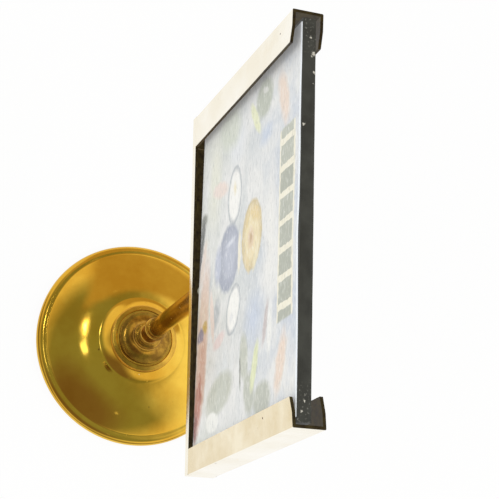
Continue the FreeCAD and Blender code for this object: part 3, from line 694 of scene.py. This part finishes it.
CLOTH_AND_EDGE_SHADE = [(24, 109, 40, 7.5, -4, "#DFC8BA", 0.35), (40, 109, 24, 6.4, -4, "#D3AEA0", 0.5),
         (16, 110, 7, 3, 6, "#E5D3C5", 0.6), (52, 106, 14, 5.4, -3, "#BE8478", 0.5),
         (60, 104, 9, 3.6, 0, "#84463E", 0.6), (22, 107, 3.4, 5, 10, "#938CA0", 0.4),
         (19, 112, 3, 3.4, 0, "#C9AC6A", 0.45), (44, 108, 8, 0.9, 12, "#A8695C", 0.5),
         (-10, 107, 12, 3.2, -16, "#E4D3C7", 0.5), (-28, 106, 4, 5, 20, "#94978B", 0.5),
         # painted shade: the three near-black marks along the bottom edge stand for the shadow at the
         # sheet's foot
         (-20, 104, 12, 4.2, -14, "#2A2F22", 0.45), (-10, 102, 12, 2.6, -4, "#17150F", 0.5),
         (36, 101.6, 38, 1.2, 1, "#3B221C", 0.6)]
for group, where in ((GROUND, brushy), (LEAVES, neat), (VASE, neat), (BLOOMS, neat), (CLOTH_AND_EDGE_SHADE, brushy)):
    for *mark, code, soft in group:
        tone = add(tree, "ShaderNodeMix", {"Factor": spot_mask(tree, where, mark, soft), "A": tone,
                                           "B": colour(code)}, data_type="RGBA")
# one row of plain upright tiles across the top, cream joints between
TILE_WIDTH = 10.6
TILE_HEIGHT = 14.6
BAND_LOW = 188.8
BAND_HIGH = BAND_LOW + TILE_HEIGHT
BAND_HALF = 37.0
from_low = add(tree, "ShaderNodeMath", {0: spot["Z"], 1: BAND_LOW}, operation="SUBTRACT")
flat = add(tree, "ShaderNodeCombineXYZ", {"X": spot["X"], "Y": from_low})
tiles = add(tree, "ShaderNodeTexBrick",
            {"Vector": flat, "Color1": colour("#A9AD9F"), "Color2": colour("#B9BDB0"),
             "Mortar": colour("#F1ECD8"), "Scale": 1.0, "Mortar Size": 1.5, "Mortar Smooth": 0.3,
             "Brick Width": TILE_WIDTH, "Row Height": TILE_HEIGHT}, offset=0.0)
band = 1.0
middle_out = add(tree, "ShaderNodeMath", {0: spot["X"]}, operation="ABSOLUTE")
for value, none, all_of_it in ((spot["Z"], BAND_LOW - 0.4, BAND_LOW + 0.4),
                               (spot["Z"], BAND_HIGH + 0.4, BAND_HIGH),
                               (middle_out, BAND_HALF + 0.5, BAND_HALF - 0.5)):
    part_of = add(tree, "ShaderNodeMapRange", {"Value": value, "From Min": none, "From Max": all_of_it})
    band = add(tree, "ShaderNodeMath", {0: band, 1: part_of}, operation="MULTIPLY")
tone = add(tree, "ShaderNodeMix", {"Factor": band, "A": tone, "B": tiles}, data_type="RGBA")
# brush strokes, about 1 by 4 mm
strokes = add(tree, "ShaderNodeMapping", {"Vector": brushy, "Rotation": (0, 0.5, 0),
                                          "Scale": (0.28, 1.0, 1.1)})
bristle = add(tree, "ShaderNodeTexNoise", {"Vector": strokes, "Scale": 1.0, "Detail": 4.0})
for code, none, all_of_it in (("#8F949C", 0.54, 1.15), ("#FFFFFF", 0.48, -0.05)):
    laid = add(tree, "ShaderNodeMapRange", {"Value": bristle, "From Min": none, "From Max": all_of_it})
    tone = add(tree, "ShaderNodeMix", {"Factor": laid, "A": tone, "B": colour(code)}, data_type="RGBA")
# unprinted white edge of the sheet
true_z = add(tree, "ShaderNodeSeparateXYZ", {0: sized(tree, 1.0)}).outputs["Z"]
edge = add(tree, "ShaderNodeMapRange", {"Value": true_z, "From Min": sheet_high.z - 0.9,
                                        "From Max": sheet_high.z - 0.5})
tone = add(tree, "ShaderNodeMix", {"Factor": edge, "A": tone, "B": colour("#EDF2F8")}, data_type="RGBA")
tree.links.new(tone.outputs["Result"], shader.inputs["Base Color"])
streak = add(tree, "ShaderNodeMapping", {"Vector": sized(tree, 5.0), "Scale": (0.12, 1, 1)})
streaks = add(tree, "ShaderNodeTexNoise", {"Vector": streak, "Scale": 1.0, "Detail": 3.0})
rough = add(tree, "ShaderNodeMapRange", {"Value": streaks, "From Min": 0.3, "From Max": 0.7, "To Min": 0.08,
                                         "To Max": 0.26})
tree.links.new(rough.outputs[0], shader.inputs["Roughness"])
ripple = add(tree, "ShaderNodeBump", {"Height": streaks, "Strength": 0.2, "Distance": 0.3 * MM})
tree.links.new(ripple.outputs[0], shader.inputs["Normal"])

SHEET_LIFT = 0.5                  # how far the top edge has come off the board
LIFT_DEPTH = 26.0                 # how far down it is loose
LIFT_HALF = 58.0                  # and how far to each side of its middle
SHEET_WAVE = 11.0
SHEET_RIPPLE = 17.0
sheet_place, sheet_size = slanted("photo_print")
bm = slab(sheet_size, (100, 1, 60))
for vert in bm.verts:
    below_top = (sheet_size.z / 2 - vert.co.z) / MM
    across_mm = abs(vert.co.x) / MM
    if across_mm < LIFT_HALF and below_top < LIFT_DEPTH:
        fade = math.cos(math.pi / 2 * across_mm / LIFT_HALF) * (1 - below_top / LIFT_DEPTH) ** 2
        wave = 0.6 + 0.4 * math.sin(vert.co.x / (SHEET_WAVE * MM))
        wave += 0.5 * noise.noise(vert.co / (SHEET_RIPPLE * MM))
        vert.co.y -= SHEET_LIFT * MM * max(0.0, wave) * fade
bm.transform(sheet_place)
placed("picture_sheet", bm, [print_paper], "panel", ["photo_print"], 60)

# kept out of mirror rays, because the dome would show them as dark lines
for name in ("bottom_rail_folded", "left_channel_folded", "right_channel_folded", "backing_board_painted",
             "picture_sheet", "top_ferrule_turned"):
    bpy.data.objects[name].visible_glossy = False
